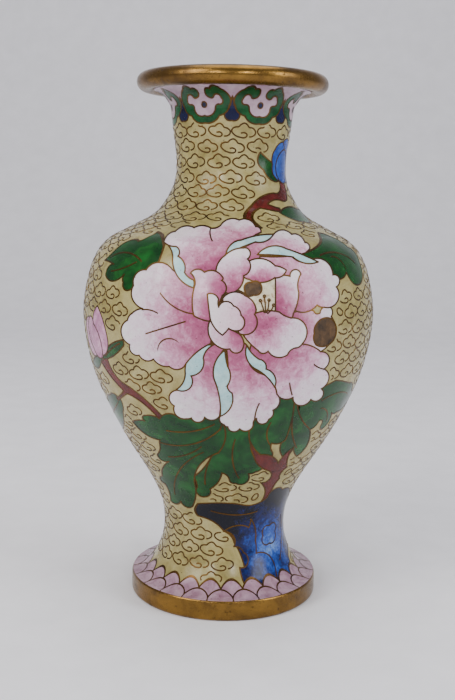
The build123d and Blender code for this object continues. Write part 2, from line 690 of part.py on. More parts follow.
neck_stem["leaf_thin"] = outline(
    ((-5.2, 116.0), (0.4, 117.6), (6.0, 117.0)),
    ((8.4, 117.0), (10.6, 116.0)),
    ((7.0, 113.6), (2.0, 113.5)),
    ((-2.4, 114.2), (-5.2, 116.0)),
)

# Rock at the foot of the plant.
rock = {}
rock["rock_eye"] = outline(
    ((3.6, 21.0), (3.8, 23.4), (6.0, 23.6)),
    ((8.6, 23.6), (8.7, 21.0)),
    ((8.4, 18.4), (6.0, 18.3)),
    ((3.8, 18.4), (3.6, 21.0)),
)
rock["rock_hollow"] = outline(
    ((-8.7, 23.5), (-5.4, 25.3), (-1.6, 24.4)),
    ((-1.2, 25.8), (-1.2, 27.0)),
    ((0.4, 24.4), (0.8, 20.0)),
    ((1.0, 18.0), (0.8, 16.3)),
    ((5.0, 15.2), (6.5, 8.6)),
    ((1.0, 8.0), (-4.6, 8.6)),
    ((-4.9, 11.0), (-4.9, 13.0)),
    ((-2.4, 13.8), (-3.2, 17.0)),
    ((-4.2, 18.4), (-5.9, 18.9)),
    ((-5.8, 21.6), (-8.7, 23.5)),
)
rock["rock_body"] = outline(
    ((-15.7, 32.0), (-10.4, 32.9), (-4.6, 32.1)),
    ((-1.0, 31.9), (2.8, 33.8)),
    ((4.6, 36.4), (8.1, 35.4)),
    ((12.0, 34.6), (15.0, 30.0)),
    ((17.0, 26.0), (16.2, 20.0)),
    ((17.4, 15.0), (14.9, 12.0)),
    ((14.6, 10.0), (13.6, 8.0)),
    ((4.0, 7.6), (-4.0, 8.0)),
    ((-4.0, 16.0), (-5.8, 20.0)),
    ((-7.0, 22.4), (-8.7, 23.6)),
    ((-11.4, 26.4), (-15.0, 27.8)),
    ((-15.9, 29.8), (-15.7, 32.0)),
)
ROCK_VEINS = (
    ("rock_body", ((9.6, 12.4), (12.4, 18.0), (11.6, 25.6))),
    ("rock_body", ((-12.6, 30.0), (-6.0, 28.8), (0.6, 29.4))),
)

# Small spray on the back: a bent stem with three blossoms, leaves and a bud.
back_stem = outline(
    ((-13.0, 36.0), (-9.6, 50.0), (-10.0, 62.0)),
    ((-12.4, 70.0), (-11.0, 78.0)),
    ((-9.4, 77.6), (-8.6, 76.6)),
    ((-9.6, 70.0), (-6.6, 63.0)),
    ((-1.0, 74.0), (6.0, 84.0)),
    ((7.2, 83.4), (8.0, 82.0)),
    ((0.6, 72.0), (-4.6, 59.0)),
    ((2.0, 58.4), (9.0, 60.4)),
    ((9.6, 59.2), (9.4, 58.0)),
    ((1.6, 55.0), (-6.4, 55.6)),
    ((-5.4, 46.0), (-8.0, 35.0)),
    ((-10.4, 34.6), (-13.0, 36.0)),
)
BACK_BLOSSOMS = (((8.0, 90.0), 10.0, 7), ((-12.0, 84.0), 7.6, 6), ((14.0, 62.0), 8.0, 6))
BACK_LEAVES = (
    ((-9.0, 66.0), (-24.0, 72.0), 7.0, 0.12),
    ((-8.0, 56.0), (-25.0, 58.0), 8.0, -0.12),
    ((-9.0, 47.0), (-21.0, 42.0), 6.4, 0.1),
    ((-6.0, 48.0), (9.0, 44.0), 6.6, 0.12),
    ((2.0, 74.0), (16.0, 76.0), 6.4, -0.14),
    ((6.0, 97.0), (-8.0, 101.0), 6.0, 0.12),
    ((15.0, 92.0), (27.0, 98.0), 6.6, -0.1),
)


# Ruyi head of the collar, drawn about its own middle line, and the drop between two.
RUYI_BAND = (
    (0.0, 140.2), (2.4, 140.4), (4.3, 142.2), (5.9, 142.9), (7.0, 144.8), (7.4, 147.4), (5.9, 149.0),
    (4.4, 149.8), (2.8, 149.1), (1.0, 148.0), (2.0, 146.9), (2.7, 146.8), (3.2, 147.2), (4.5, 147.7),
    (5.2, 146.8), (5.4, 145.8), (4.3, 145.2), (3.6, 145.0), (3.2, 144.0), (2.0, 142.3), (0.0, 142.2),
)
RUYI_ZONE = (
    (0.0, 140.2), (2.4, 140.4), (4.3, 142.2), (5.9, 142.9), (7.0, 144.8), (7.4, 147.4), (5.9, 149.0),
    (4.4, 149.8), (2.8, 149.1), (1.4, 149.3), (0.0, 149.1),
)
DROP = ((0.0, 140.9), (1.7, 141.3), (2.05, 142.8), (1.6, 144.2), (0.5, 145.0), (0.3, 146.2), (0.0, 147.3))
DOT_HEIGHT = 145.1
DOT_RADIUS = 0.6
DOT_RING = 0.35
BAND_LOW = 147.0


# -------------------------------------------------------------------- cell faces
def wire_strip(face, width=WIRE_WIDTH):
    """Band of wire that runs along the edge of a face, half inside it and half outside."""
    half = width / 2
    pieces = []
    for edge in face.edges():
        start, middle, end = edge @ 0, edge @ 0.5, edge @ 1
        if edge.geom_type == GeomType.CIRCLE:
            centre = edge.arc_center
            grow = 1 + half / edge.radius
            shrink = 1 - half / edge.radius
            near = ThreePointArc(*[centre + (p - centre) * shrink for p in (start, middle, end)])
            far = ThreePointArc(*[centre + (p - centre) * grow for p in (start, middle, end)])
        else:
            along = (end - start).normalized()
            side = Vector(-along.Y, along.X) * half
            near = Line(start - side, end - side)
            far = Line(start + side, end + side)
        pieces.append(facing_up(make_face([near, Line(near @ 1, far @ 1), far, Line(far @ 0, near @ 0)])))
        pieces.append(Pos(start.X, start.Y) * Circle(half * 1.1))
    return pieces


def vein_strip(points):
    """Thin strip of wire along a vein."""
    start, middle, end = [Vector(u * ACROSS, z * UP) for u, z in points]
    half = WIRE_WIDTH / 2
    along = (end - start).normalized()
    side = Vector(-along.Y, along.X) * half
    near = ThreePointArc(start - side, middle - side, end - side)
    far = ThreePointArc(start + side, middle + side, end + side)
    return facing_up(make_face([near, Line(near @ 1, far @ 1), far, Line(far @ 0, near @ 0)]))


def near(face, others):
    """Those of the others whose boxes meet the face's box."""
    box = face.bounding_box()
    found = []
    for other in others:
        reach = other.bounding_box()
        if reach.min.X < box.max.X and reach.max.X > box.min.X:
            if reach.min.Y < box.max.Y and reach.max.Y > box.min.Y:
                found.append(other)
    return found


def cells_of(motif, veins=()):
    """Visible part of each outline between its wires, top one first, the whole and the wires."""
    cells = {}
    cover = []
    for name, face in motif.items():
        cell = Sketch() + face - near(face, cover)
        strips = wire_strip(face)
        cell = cell - strips
        for owner, points in veins:
            if owner == name:
                cell = cell - vein_strip(points)
        cells[name] = Sketch() + [piece for piece in cell.faces() if piece.area > SMALLEST_CELL]
        cover += [face] + strips
    whole = Sketch()
    for face in motif.values():
        whole = whole + face
    whole = whole + [strip for face in whole.faces() for strip in wire_strip(face)]
    wires = whole - list(cells.values())
    return cells, whole, wires


def prism(turn, face):
    """The room a panel face takes from the axis out past the body."""
    with BuildPart() as room:
        with BuildSketch(panel(turn)):
            add(face)
        extrude(amount=DEEP)
    return room.part


def cut_from(layer, turn, sketch):
    """The part of a turned layer that a panel sketch covers, seen from outside."""
    covered = Part()
    for face in sketch.faces():
        covered = covered + (prism(turn, face) & layer)
    return covered


# ---------------------------------------------------------------------- layers
WALL_DEPTH = ENAMEL_THICKNESS + COPPER_THICKNESS
enamel_layer = turned_layer(0.0, ENAMEL_THICKNESS)
wire_layer = turned_layer(-WIRE_PROUD, ENAMEL_THICKNESS)
copper_layer = turned_layer(ENAMEL_THICKNESS, WALL_DEPTH, RIM_SLOT_DEPTH)
slot_layer = turned_layer(
    ENAMEL_THICKNESS - RIM_SLOT_CLEARANCE,
    WALL_DEPTH + RIM_SLOT_CLEARANCE,
    RIM_SLOT_DEPTH + RIM_SLOT_CLEARANCE,
)
wall_layer = turned_layer(0.0, WALL_DEPTH + LINING_THICKNESS)

# Brass bead round the mouth, slotted to take the copper's edge.
BEAD_CENTRE_RADIUS = RIM_RADIUS - RIM_SECTION_RADIUS
BEAD_CENTRE_HEIGHT = HEIGHT - RIM_SECTION_RADIUS
with BuildPart() as bead:
    with BuildSketch(turning):
        with Locations((BEAD_CENTRE_RADIUS, BEAD_CENTRE_HEIGHT)):
            Circle(RIM_SECTION_RADIUS)
    revolve(axis=Axis.Z)

with BuildPart() as rim_ring:
    add(bead.part)
    add(slot_layer, mode=Mode.SUBTRACT)

# Brass band of the foot, with a seat cut for the flare's edge.
FOOT_INNER_RADIUS = FOOT_RADIUS - FOOT_BAND_WIDTH
FOOT_EDGE_FILLET = 0.9
with BuildPart() as foot_ring:
    with BuildSketch(turning):
        with Locations(((FOOT_INNER_RADIUS + FOOT_RADIUS) / 2, FOOT_BAND_HEIGHT / 2)):
            foot_section = Rectangle(FOOT_BAND_WIDTH, FOOT_BAND_HEIGHT)
        fillet(foot_section.vertices().group_by(Axis.Z)[0], radius=FOOT_EDGE_FILLET)
    revolve(axis=Axis.Z)
    add(wall_layer, mode=Mode.SUBTRACT)

with BuildPart() as base_plate:
    with BuildSketch(Plane.XY.offset(BASE_PLATE_HEIGHT)):
        Circle(FOOT_INNER_RADIUS)
    extrude(amount=BASE_PLATE_THICKNESS)

with BuildPart() as base_enamel:
    with BuildSketch(Plane.XY.offset(BASE_PLATE_HEIGHT - BASE_ENAMEL_THICKNESS)):
        Circle(FOOT_INNER_RADIUS)
    extrude(amount=BASE_ENAMEL_THICKNESS)

# Copper body in four spun sections, with a brazed seam between each two.
SHOULDER_SEAM_HEIGHT = 112.0 * UP
SEAM_HEIGHTS = (WAIST_HEIGHT, BELLY_HEIGHT, SHOULDER_SEAM_HEIGHT)
ROOM = 2 * (BELLY_RADIUS + FOOT_RADIUS)


def copper_between(low, high):
    """The copper layer between two heights."""
    with BuildPart() as section:
        with BuildSketch(Plane.XY.offset(low)):
            Rectangle(ROOM, ROOM)
        extrude(amount=high - low)
        add(copper_layer, mode=Mode.INTERSECT)
    return section.part


with BuildPart() as foot_core:
    add(copper_between(0, WAIST_HEIGHT - SEAM_HEIGHT / 2))

with BuildPart() as lower_core:
    add(copper_between(WAIST_HEIGHT + SEAM_HEIGHT / 2, BELLY_HEIGHT - SEAM_HEIGHT / 2))

with BuildPart() as shoulder_core:
    add(copper_between(BELLY_HEIGHT + SEAM_HEIGHT / 2, SHOULDER_SEAM_HEIGHT - SEAM_HEIGHT / 2))

with BuildPart() as neck_core:
    add(copper_between(SHOULDER_SEAM_HEIGHT + SEAM_HEIGHT / 2, HEIGHT))

with BuildPart() as brazed_seams:
    for seam_height in SEAM_HEIGHTS:
        add(copper_between(seam_height - SEAM_HEIGHT / 2, seam_height + SEAM_HEIGHT / 2))

with BuildPart() as inner_lining:
    add(turned_layer(WALL_DEPTH, WALL_DEPTH + LINING_THICKNESS))
    add(bead.part, mode=Mode.SUBTRACT)

with BuildPart() as enamel_skin:
    add(enamel_layer)
    add(bead.part, mode=Mode.SUBTRACT)

with BuildPart() as wire_skin:
    add(wire_layer)
    add(bead.part, mode=Mode.SUBTRACT)
    add(foot_ring.part, mode=Mode.SUBTRACT)

enamel_layer = enamel_skin.part
wire_layer = wire_skin.part

# ------------------------------------------------------------------- foot scales
# Two rows of round scales on the flare, seen in plan, the low row half a step on.
SCALE_STEP = 360 / SCALE_COUNT
SCALE_START = 6.4
LOW_ROW_RADIUS = FOOT_RADIUS - 0.7
HIGH_ROW_RADIUS = FOOT_RADIUS - 2.9
LOW_SCALE = LOW_ROW_RADIUS * sin(radians(SCALE_STEP / 2)) * 1.01
HIGH_SCALE = HIGH_ROW_RADIUS * sin(radians(SCALE_STEP / 2)) * 1.09
SCALE_TOP = 11.5 * UP


def scale_row(row_radius, scale_radius, start):
    """Round scales in plan, one step apart."""
    with BuildSketch() as row:
        with PolarLocations(row_radius, SCALE_COUNT, start_angle=start - 90):
            Circle(scale_radius)
    return row.sketch


low_row = scale_row(LOW_ROW_RADIUS, LOW_SCALE - WIRE_WIDTH / 2, SCALE_START + SCALE_STEP / 2)
low_row_room = scale_row(LOW_ROW_RADIUS, LOW_SCALE + WIRE_WIDTH / 2, SCALE_START + SCALE_STEP / 2)
high_row = scale_row(HIGH_ROW_RADIUS, HIGH_SCALE - WIRE_WIDTH / 2, SCALE_START) - low_row_room
with BuildSketch() as foot_edge:
    Circle(FOOT_RADIUS + 1)
    Circle(LOW_ROW_RADIUS - LOW_SCALE * 0.6, mode=Mode.SUBTRACT)
high_row_room = scale_row(HIGH_ROW_RADIUS, HIGH_SCALE + WIRE_WIDTH / 2, SCALE_START)
scale_zone = high_row_room + low_row_room + foot_edge.sketch

with BuildPart() as scales_low:
    with BuildSketch():
        add(low_row)
    extrude(amount=SCALE_TOP)
    add(enamel_layer, mode=Mode.INTERSECT)

with BuildPart() as scales_high:
    with BuildSketch():
        add(high_row)
    extrude(amount=SCALE_TOP)
    add(enamel_layer, mode=Mode.INTERSECT)

with BuildPart() as scale_wires:
    with BuildSketch():
        add(scale_zone - low_row - high_row)
    extrude(amount=SCALE_TOP)
    add(wire_layer, mode=Mode.INTERSECT)

with BuildPart() as scale_room:
    with BuildSketch():
        add(scale_zone)
    extrude(amount=SCALE_TOP)

# ------------------------------------------------------------------------ collar
RUYI_STEP = 360 / RUYI_COUNT
ruyi_turns = [RUYI_STEP * (number + 0.5) for number in range(RUYI_COUNT)]
drop_turns = [RUYI_STEP * number for number in range(RUYI_COUNT)]
ruyi_band = mirrored(RUYI_BAND)
ruyi_zone = mirrored(RUYI_ZONE)
ruyi_cell = ruyi_band - wire_strip(ruyi_band)
ruyi_solid = ruyi_zone + wire_strip(ruyi_band)
drop_face = mirrored(DROP)
drop_cell = drop_face - wire_strip(drop_face)
drop_solid = drop_face + wire_strip(drop_face)
with BuildSketch() as dot_face:
    with Locations((0, DOT_HEIGHT * UP)):
        Circle(DOT_RADIUS)
with BuildSketch() as dot_room:
    with Locations((0, DOT_HEIGHT * UP)):
        Circle(DOT_RADIUS + DOT_RING)
ruyi_field = ruyi_zone - ruyi_band - wire_strip(ruyi_band)
ruyi_wires = ruyi_solid - ruyi_cell - ruyi_field + (dot_room.sketch - dot_face.sketch)
ruyi_field = ruyi_field - dot_room.sketch


def around(turns, face, layer):
    """What a panel face covers on a layer, repeated at each turn."""
    first = cut_from(layer, turns[0], face)
    return [Rot(0, 0, turn - turns[0]) * first for turn in turns]


def rooms(turns, face):
    """The face's prism at each turn."""
    first = prism(turns[0], face)
    return [Rot(0, 0, turn - turns[0]) * first for turn in turns]


with BuildPart() as ruyi_heads:
    add(around(ruyi_turns, ruyi_cell, enamel_layer))

with BuildPart() as collar_drops:
    add(around(drop_turns, drop_cell, enamel_layer))
    add(rooms(ruyi_turns, ruyi_solid), mode=Mode.SUBTRACT)
    add(around(ruyi_turns, dot_face.sketch, enamel_layer))

with BuildPart() as collar_band:
    with BuildSketch(Plane.XY.offset(BAND_LOW * UP)):
        Rectangle(ROOM, ROOM)
    extrude(amount=HEIGHT)
    add(enamel_layer, mode=Mode.INTERSECT)

with BuildPart() as collar_field:
    add(collar_band.part)
    add(rooms(ruyi_turns, ruyi_solid), mode=Mode.SUBTRACT)
    add(rooms(drop_turns, drop_solid), mode=Mode.SUBTRACT)
    add(around(ruyi_turns, ruyi_field, enamel_layer))

with BuildPart() as collar_wires:
    add(around(drop_turns, drop_solid - drop_cell, wire_layer))
    add(rooms(ruyi_turns, ruyi_solid), mode=Mode.SUBTRACT)
    add(around(ruyi_turns, ruyi_wires, wire_layer))

# ------------------------------------------------- painted motifs, cell by cell
FRONT, LEFT, RIGHT, UPPER_RIGHT = 0.0, -58.0, 40.0, 55.0
NECK_SIDE, NECK_BUD, ROCK_SIDE, BACK = 55.0, 70.0, 28.0, 180.0

back_spray = {}
for blossom_number, (blossom_centre, blossom_radius, petal_count) in enumerate(BACK_BLOSSOMS):
    back_spray[f"heart_{blossom_number}"] = round_heart(blossom_centre, blossom_radius * 0.4)
    for petal_number, petal in enumerate(petal_ring(blossom_centre, blossom_radius, petal_count)):
        back_spray[f"petal_{blossom_number}_{petal_number}"] = petal
back_spray["stem_back"] = back_stem
for leaf_number, leaf_shape in enumerate(BACK_LEAVES):
    back_spray[f"leaf_{leaf_number}"] = leaf(*leaf_shape)

front_motif = {**peony, **leaves_low}
front_cells, front_whole, front_wires = cells_of(front_motif, PETAL_VEINS + LEAF_VEINS)
left_cells, left_whole, left_wires = cells_of(left_spray, LEFT_VEINS)
right_cells, right_whole, right_wires = cells_of(right_leaf, RIGHT_VEINS)
upper_cells, upper_whole, upper_wires = cells_of(upper_right_leaf, UPPER_RIGHT_VEINS)
bud_cells, bud_whole, bud_wires = cells_of(neck_flower)
stem_cells, stem_whole, stem_wires = cells_of(neck_stem)
rock_cells, rock_whole, rock_wires = cells_of(rock, ROCK_VEINS)
back_cells, back_whole, back_wires = cells_of(back_spray)

# What lies nearer the viewer keeps its whole outline and cuts what it overlaps.
front_room = prism(FRONT, front_whole)
bud_room = prism(NECK_BUD, bud_whole)
rock_room = prism(ROCK_SIDE, rock_whole)


def piece_of(turn, cells, names, *rooms_above):
    """One enamel piece: its cells cut from the enamel, less what lies over them."""
    with BuildPart() as piece:
        for name in names:
            add(cut_from(enamel_layer, turn, cells[name]))
        for room in rooms_above:
            add(room, mode=Mode.SUBTRACT)
    return piece.part


def wires_on(turn, wires, *rooms_above):
    """The wires of one panel, less what lies over them."""
    with BuildPart() as net:
        add(cut_from(wire_layer, turn, wires))
        for room in rooms_above:
            add(room, mode=Mode.SUBTRACT)
    return net.part


pieces = {}
FRONT_PIECES = {
    "repair_patches": ("repair_patch_low", "repair_patch_high"),
    "crescents": (
        "crescent_top", "crescent_top_right", "crescent_left", "crescent_low_left",
        "crescent_low_middle", "crescent_low_right",
    ),
    "leaves_low_left": ("leaf_left", "leaf_left_hanging"),
    "leaf_low_middle": ("leaf_middle",),
    "leaves_low_right": ("leaf_right_inner", "leaf_right_hanging"),
}
grouped = [name for names in FRONT_PIECES.values() for name in names]
for name in front_motif:
    if name not in grouped:
        FRONT_PIECES[name] = (name,)
for name, members in FRONT_PIECES.items():
    above = [rock_room] if name == "stem_forked" or name.startswith("lea") else []
    pieces[name] = piece_of(FRONT, front_cells, members, *above)

LEFT_PIECES = {
    "bud_petals": ("bud_petal_front", "bud_petal_middle", "bud_petal_back"),
    "leaves_left": ("bud_leaf_right", "bud_leaf_left", "leaf_far_left"),
    "stem_left": ("stem_left",),
    "leaf_upper_left": ("leaf_upper_left",),
}
for name, members in LEFT_PIECES.items():
    pieces[name] = piece_of(LEFT, left_cells, members, front_room)
pieces["leaf_far_right"] = piece_of(RIGHT, right_cells, ("leaf_far_right",), front_room)
pieces["leaf_upper_right"] = piece_of(UPPER_RIGHT, upper_cells, ("leaf_upper_right",), front_room)
pieces["blue_flower"] = piece_of(NECK_BUD, bud_cells, tuple(neck_flower))
pieces["stem_neck"] = piece_of(NECK_SIDE, stem_cells, ("stem_neck",), bud_room, front_room)
pieces["leaves_neck"] = piece_of(NECK_SIDE, stem_cells, ("leaf_neck", "leaf_thin"), bud_room, front_room)
pieces["rock_hollow"] = piece_of(ROCK_SIDE, rock_cells, ("rock_hollow", "rock_eye"), scale_room.part)
pieces["rock_body"] = piece_of(ROCK_SIDE, rock_cells, ("rock_body",), scale_room.part)
pieces["back_blossoms"] = piece_of(
    BACK, back_cells, [name for name in back_spray if name.startswith(("heart", "petal"))]
)
pieces["stem_back"] = piece_of(BACK, back_cells, ("stem_back",))
pieces["leaves_back"] = piece_of(BACK, back_cells, [name for name in back_spray if name.startswith("leaf")])

pieces["wires_front"] = wires_on(FRONT, front_wires, rock_room)
pieces["wires_rock"] = wires_on(ROCK_SIDE, rock_wires, scale_room.part)
pieces["wires_back"] = wires_on(BACK, back_wires)
with BuildPart() as wires_sides:
    add(wires_on(LEFT, left_wires, front_room))
    add(wires_on(RIGHT, right_wires, front_room))
    add(wires_on(UPPER_RIGHT, upper_wires, front_room))
    add(wires_on(NECK_SIDE, stem_wires, bud_room, front_room))
    add(wires_on(NECK_BUD, bud_wires))

# ------------------------------------------------------------ ground between them
with BuildPart() as ground:
    add(enamel_layer)
    add(collar_band.part, mode=Mode.SUBTRACT)
    add(scale_room.part, mode=Mode.SUBTRACT)
    add(rooms(ruyi_turns, ruyi_solid), mode=Mode.SUBTRACT)
    add(rooms(drop_turns, drop_solid), mode=Mode.SUBTRACT)
    add(front_room, mode=Mode.SUBTRACT)
    add(prism(LEFT, left_whole), mode=Mode.SUBTRACT)
    add(prism(RIGHT, right_whole), mode=Mode.SUBTRACT)
    add(prism(UPPER_RIGHT, upper_whole), mode=Mode.SUBTRACT)
    add(prism(NECK_SIDE, stem_whole), mode=Mode.SUBTRACT)
    add(bud_room, mode=Mode.SUBTRACT)
    add(rock_room, mode=Mode.SUBTRACT)
    add(prism(BACK, back_whole), mode=Mode.SUBTRACT)

# ------------------------------------------------------------------ write the parts
pieces["rim_ring"] = rim_ring.part
pieces["foot_ring"] = foot_ring.part
pieces["base_plate"] = base_plate.part
pieces["base_enamel"] = base_enamel.part
pieces["foot_core"] = foot_core.part
pieces["lower_core"] = lower_core.part
pieces["shoulder_core"] = shoulder_core.part
pieces["neck_core"] = neck_core.part
pieces["brazed_seams"] = brazed_seams.part
pieces["inner_lining"] = inner_lining.part
pieces["scales_low"] = scales_low.part
pieces["scales_high"] = scales_high.part
pieces["scale_wires"] = scale_wires.part
pieces["ruyi_heads"] = ruyi_heads.part
pieces["collar_drops"] = collar_drops.part
pieces["collar_field"] = collar_field.part
pieces["collar_wires"] = collar_wires.part
pieces["wires_sides"] = wires_sides.part
pieces["ground"] = ground.part



def without_specks(part):
    """The piece without the specks that are too small to be a cell or a wire."""
    return Compound([solid for solid in part.solids() if solid.volume > SMALLEST_PIECE])


for name, part in pieces.items():
    kept = without_specks(part)
    kept.label = name
    export_step(kept, f"parts/{name}.step", write_pcurves=False)
    print(name, len(kept.solids()), "solids", round(kept.volume, 1), "mm3")
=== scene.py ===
import json
import math
import random

import bpy
from mathutils import Matrix, Vector
from mathutils.bvhtree import BVHTree


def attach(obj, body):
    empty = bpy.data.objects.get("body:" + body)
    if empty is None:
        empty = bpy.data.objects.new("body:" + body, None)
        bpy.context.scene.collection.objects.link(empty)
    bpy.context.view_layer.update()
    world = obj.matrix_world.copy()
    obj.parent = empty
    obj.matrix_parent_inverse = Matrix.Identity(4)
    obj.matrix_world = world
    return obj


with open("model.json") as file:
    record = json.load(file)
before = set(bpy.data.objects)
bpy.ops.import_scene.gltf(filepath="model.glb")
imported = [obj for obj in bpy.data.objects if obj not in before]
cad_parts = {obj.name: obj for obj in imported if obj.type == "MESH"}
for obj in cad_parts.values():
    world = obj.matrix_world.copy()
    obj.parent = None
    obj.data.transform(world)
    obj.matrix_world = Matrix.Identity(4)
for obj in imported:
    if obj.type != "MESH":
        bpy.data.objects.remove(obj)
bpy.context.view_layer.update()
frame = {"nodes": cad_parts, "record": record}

nodes = frame["nodes"]
MM = 0.001


# ------------------------------------------------------------------ materials
def rgb(r, g, b):
    """Linear colour from 0-255 display values."""
    def one(v):
        v /= 255
        return v / 12.92 if v <= 0.04045 else ((v + 0.055) / 1.055) ** 2.4
    return one(r), one(g), one(b), 1.0


class Nodes:
    """Short hand for a material's node tree."""

    def __init__(self, name):
        self.material = bpy.data.materials.new(name)
        self.material.use_nodes = True
        self.tree = self.material.node_tree
        self.tree.nodes.clear()
        self.output = self.tree.nodes.new("ShaderNodeOutputMaterial")
        self.shader = self.tree.nodes.new("ShaderNodeBsdfPrincipled")
        self.join(self.shader.outputs[0], self.output.inputs[0])
        self.place = self.tree.nodes.new("ShaderNodeTexCoord").outputs["Object"]

    def join(self, a, b):
        self.tree.links.new(a, b)

    def noise(self, scale, detail=4.0, roughness=0.55, distortion=0.0, offset=(0, 0, 0), stretch=(1, 1, 1)):
        mapping = self.tree.nodes.new("ShaderNodeMapping")
        mapping.inputs["Location"].default_value = offset
        mapping.inputs["Scale"].default_value = stretch
        self.join(self.place, mapping.inputs["Vector"])
        n = self.tree.nodes.new("ShaderNodeTexNoise")
        n.inputs["Scale"].default_value = scale
        n.inputs["Detail"].default_value = detail
        n.inputs["Roughness"].default_value = roughness
        n.inputs["Distortion"].default_value = distortion
        self.join(mapping.outputs[0], n.inputs["Vector"])
        return n.outputs["Fac"]

    def ramp(self, value, stops):
        r = self.tree.nodes.new("ShaderNodeValToRGB")
        elements = r.color_ramp.elements
        while len(elements) < len(stops):
            elements.new(0.5)
        for element, (position, colour) in zip(elements, stops):
            element.position = position
            element.color = colour
        self.join(value, r.inputs["Fac"])
        return r.outputs["Color"]

    def level(self, value, low, high, to_low=0.0, to_high=1.0):
        m = self.tree.nodes.new("ShaderNodeMapRange")
        for socket, number in zip(("From Min", "From Max", "To Min", "To Max"), (low, high, to_low, to_high)):
            m.inputs[socket].default_value = number
        self.join(value, m.inputs["Value"])
        return m.outputs["Result"]

    def mix(self, factor, a, b, blend="MIX"):
        m = self.tree.nodes.new("ShaderNodeMix")
        m.data_type = "RGBA"
        m.blend_type = blend
        for socket, value in ((m.inputs[0], factor), (m.inputs[6], a), (m.inputs[7], b)):
            if isinstance(value, bpy.types.NodeSocket):
                self.join(value, socket)
            else:
                socket.default_value = value
        return m.outputs[2]

    def maths(self, operation, a, b=None):
        m = self.tree.nodes.new("ShaderNodeMath")
        m.operation = operation
        for socket, value in ((m.inputs[0], a), (m.inputs[1], b)):
            if value is None:
                continue
            if isinstance(value, bpy.types.NodeSocket):
                self.join(value, socket)
            else:
                socket.default_value = value
        return m.outputs[0]

    def distance(self, centre):
        """Distance from a point of the object's frame, in metres."""
        m = self.tree.nodes.new("ShaderNodeVectorMath")
        m.operation = "DISTANCE"
        m.inputs[1].default_value = centre
        self.join(self.place, m.inputs[0])
        return m.outputs["Value"]

    def bump(self, height, strength, distance):
        b = self.tree.nodes.new("ShaderNodeBump")
        b.inputs["Strength"].default_value = strength
        b.inputs["Distance"].default_value = distance
        self.join(height, b.inputs["Height"])
        self.join(b.outputs[0], self.shader.inputs["Normal"])


def enamel(name, stops, scale=220.0, roughness=(0.16, 0.30), dirt=0.35, centre=None, span=(0.0, 0.02), seed=0.0):
    """Fired enamel: clouded colour, pin holes, stains in random patches and a slightly orange-peeled gloss.

    With a centre, the colour runs from the first stop to the last over the span of distances from it.
    """
    n = Nodes(name)
    clouds = n.noise(scale, 5.0, 0.6, 0.6, (seed, seed * 1.7, 0))
    if centre:
        near = n.level(n.distance(centre), *span)
        streaks = n.noise(700.0, 3.0, 0.6, 1.2, (seed, 2, 4))
        mottle = n.maths("ADD", n.maths("MULTIPLY", clouds, 0.55), n.maths("MULTIPLY", streaks, 0.35))
        clouds = n.maths("ADD", n.maths("MULTIPLY", near, 0.72), n.maths("SUBTRACT", mottle, 0.3))
    colour = n.ramp(clouds, stops)
    grain = n.noise(2600.0, 3.0, 0.6, 0.0, (seed, 0, 0))
    colour = n.mix(n.level(grain, 0.35, 0.75, 0.0, 0.22), colour, (0.5, 0.45, 0.38, 1.0), "MULTIPLY")
    pores = n.noise(1500.0, 2.0, 0.5, 0.0, (0, seed, 0.3))
    pits = n.level(pores, 0.70, 0.745)
    colour = n.mix(n.maths("MULTIPLY", pits, 0.75), colour, rgb(52, 38, 26))
    stains = n.level(n.noise(90.0, 4.0, 0.65, 0.4, (3, seed, 1)), 0.52, 0.75, 0.0, dirt)
    colour = n.mix(stains, colour, (0.42, 0.34, 0.24, 1.0), "MULTIPLY")
    n.join(colour, n.shader.inputs["Base Color"])
    worn = n.noise(420.0, 4.0, 0.6, 0.0, (7, seed, 2))
    n.join(n.level(worn, 0.3, 0.75, roughness[0], roughness[1]), n.shader.inputs["Roughness"])
    n.shader.inputs["IOR"].default_value = 1.52
    n.shader.inputs["Specular IOR Level"].default_value = 0.28
    ripple = n.noise(520.0, 3.0, 0.5, 0.0, (1, 2, seed))
    height = n.maths("SUBTRACT", n.maths("MULTIPLY", ripple, 0.5), n.maths("MULTIPLY", pits, 0.6))
    n.bump(height, 0.35, 0.00012)
    return n.material


def metal(name, light, dark, roughness=(0.26, 0.5), pitting=0.5, patina=0.6, seed=0.0):
    """Old worked metal: patina in patches, pits and fine turning lines."""
    n = Nodes(name)
    patches = n.noise(110.0, 6.0, 0.62, 0.5, (seed, 0, 0))
    colour = n.ramp(n.level(patches, 0.32, 0.72, 0.0, 1.0), ((0.0, light), (1.0, dark)))
    pores = n.noise(900.0, 3.0, 0.6, 0.2, (0, seed, 5))
    pits = n.level(pores, 0.62, 0.70)
    colour = n.mix(n.maths("MULTIPLY", pits, pitting), colour, rgb(38, 26, 14))
    n.join(colour, n.shader.inputs["Base Color"])
    n.join(n.level(patches, 0.3, 0.75, 1.0, 1.0 - patina * 0.35), n.shader.inputs["Metallic"])
    fine = n.noise(1400.0, 4.0, 0.7, 0.0, (seed, 3, 1), (1, 1, 6))
    n.join(n.level(n.maths("ADD", n.maths("MULTIPLY", patches, 0.6), n.maths("MULTIPLY", fine, 0.4)),
                   0.35, 0.68, roughness[0], roughness[1]), n.shader.inputs["Roughness"])
    height = n.maths("SUBTRACT", n.maths("MULTIPLY", fine, 0.35), n.maths("MULTIPLY", pits, 0.8))
    n.bump(height, 0.45, 0.00012)
    return n.material


